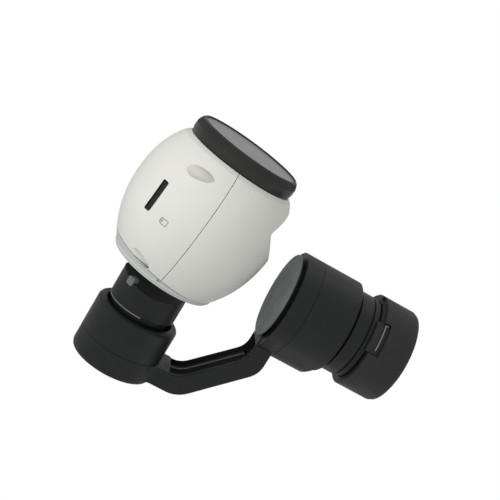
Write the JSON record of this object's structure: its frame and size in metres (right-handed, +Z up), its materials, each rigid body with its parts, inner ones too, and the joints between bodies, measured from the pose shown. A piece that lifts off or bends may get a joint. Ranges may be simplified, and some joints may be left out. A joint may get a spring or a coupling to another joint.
{
  "type": "camera gimbal",
  "caption": "Three-axis stabilised drone camera: bayonet mount, yaw motor, rear arm, roll motor, side arm and pitch motor carrying a white barrel camera.",
  "frame": {"origin": "centre of the mount plug's top face, on the yaw axis", "axes": "+Z up along the yaw axis towards the aircraft; the lens looks towards -Y and the card slot faces +X"},
  "size_m": [0.0658, 0.0948, 0.1154],
  "materials": {
    "motor_black": "satin black anodised",
    "arm_black": "satin black paint, slightly soft sheen",
    "ring_black": "moulded satin black",
    "plug_black": "moulded black",
    "trim_black": "moulded black strip",
    "cover_grey": "satin grey-green disc",
    "shell_white": "satin off-white moulded shell",
    "shell_grey": "light grey moulded cover",
    "grey_plastic": "light grey bumper block",
    "lens_black": "black lens parts",
    "filter_black": "black anodised, knurled",
    "filter_glass": "neutral density glass",
    "lens_glass": "coated glass",
    "steel": "plain steel",
    "lamination": "stacked silicon steel",
    "magnet": "nickel plated magnets",
    "copper": "enamelled copper wire",
    "contact_gold": "gold plated",
    "aluminium": "bead blasted aluminium",
    "board": "green circuit board",
    "sensor": "image sensor",
    "cable": "flat flexible cable",
    "card_black": "memory card"
  },
  "bodies": {
    "mount": {"mount_base": "motor_black", "mount_plug": "plug_black", "contact_pads": "contact_gold", "mount_screws": "steel", "ring_retainer": "steel", "yaw_board": "board", "yaw_stator_core": "lamination", "yaw_windings": "copper", "yaw_bearings": "steel"},
    "lock": {"lock_ring": "ring_black", "detent_spring": "steel"},
    "yaw": {"yaw_housing": "motor_black", "yaw_arm": "arm_black", "yaw_cover": "cover_grey", "yaw_flux_ring": "lamination", "yaw_magnets": "magnet", "yaw_shaft": "steel", "arm_cable": "cable", "arm_rail": "trim_black", "roll_cup": "motor_black", "roll_end_cap": "arm_black", "roll_cap_screws": "steel", "roll_stator_core": "lamination", "roll_windings": "copper", "roll_bearings": "steel"},
    "roll": {"roll_rotor": "motor_black", "roll_magnets": "magnet", "roll_shaft": "steel", "neck_snap_ring": "steel", "tilt_bumper": "grey_plastic", "roll_arm": "arm_black", "roll_arm_cover": "trim_black", "pitch_base": "aluminium", "pitch_cap": "arm_black", "pitch_cap_screws": "steel", "pitch_stator_core": "lamination", "pitch_windings": "copper", "pitch_bearings": "steel"},
    "camera": {"pitch_rotor": "aluminium", "pitch_magnets": "magnet", "pitch_shaft": "steel", "lower_shell": "shell_white", "upper_shell": "shell_white", "shell_screws": "steel", "front_collar": "lens_black", "rear_cover": "shell_grey", "lens_bezel": "lens_black", "lens_barrel": "lens_black", "lens_elements": "lens_glass", "camera_frame": "aluminium", "image_sensor": "sensor", "sensor_board": "board", "main_board": "board", "heat_sink": "aluminium", "card_socket": "steel"},
    "filter": {"filter_ring": "filter_black", "filter_glass": "filter_glass"},
    "card": {"memory_card": "card_black"}
  },
  "joints": [
    {"name": "ring_turn", "type": "hinge", "parent": "mount", "child": "lock", "pos_m": [0, 0, 0], "axis": [0, 0, 1], "range_deg": [0, 40]},
    {"name": "yaw_turn", "type": "hinge", "parent": "mount", "child": "yaw", "pos_m": [0, 0, -0.03], "axis": [0, 0, 1], "range_deg": [-320, 320]},
    {"name": "roll_turn", "type": "hinge", "parent": "yaw", "child": "roll", "pos_m": [0, 0.03, -0.0896], "axis": [0, 1, 0], "range_deg": [-45, 45]},
    {"name": "pitch_turn", "type": "hinge", "parent": "roll", "child": "camera", "pos_m": [-0.03, -0.013, -0.0896], "axis": [1, 0, 0], "range_deg": [-8, 115]},
    {"name": "filter_off", "type": "slide", "parent": "camera", "child": "filter", "axis": [0, -0.9952, 0.0974], "range_m": [0, 0.012]},
    {"name": "card_out", "type": "slide", "parent": "camera", "child": "card", "axis": [1, 0, 0], "range_m": [0, 0.014]}
  ]
}
